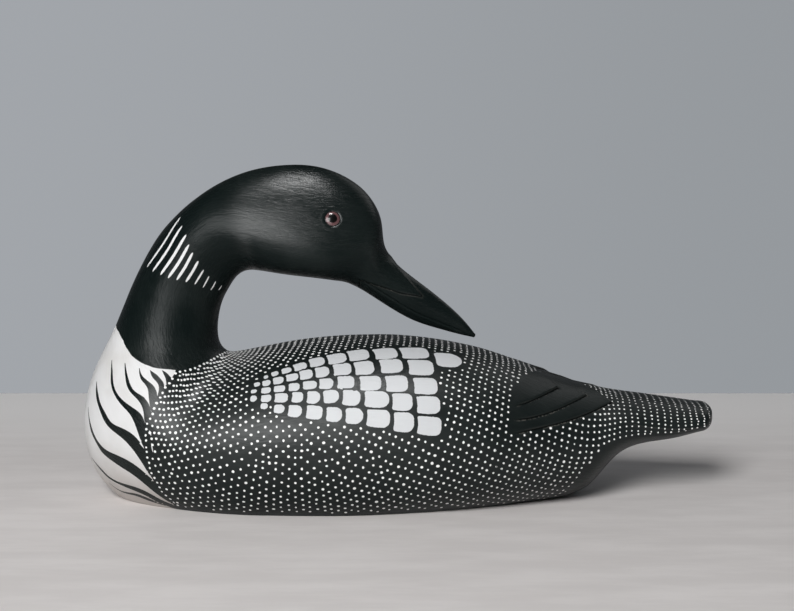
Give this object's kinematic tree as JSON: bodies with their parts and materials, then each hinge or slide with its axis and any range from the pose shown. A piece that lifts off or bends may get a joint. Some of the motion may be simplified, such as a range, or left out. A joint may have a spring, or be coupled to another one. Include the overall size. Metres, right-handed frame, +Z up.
{
  "type": "carved wooden loon figurine",
  "caption": "Carved and painted wooden loon, neck bent back and bill laid over its back, with inset glass eyes and a flat underside.",
  "frame": {"origin": "middle of the bounding box at the height of the flat underside", "axes": "+Z up, +X from the breast to the tail, +Y towards the bird's left side"},
  "size_m": [0.3748, 0.1312, 0.1978],
  "materials": {
    "painted_wood": "satin black paint with white dots, windows, neck strokes and a striped white breast",
    "eye_glass": "glossy red-brown glass with a black pupil"
  },
  "bodies": {
    "root": {"loon_body": "painted_wood", "eye_right": "eye_glass", "eye_left": "eye_glass"}
  },
  "joints": []
}
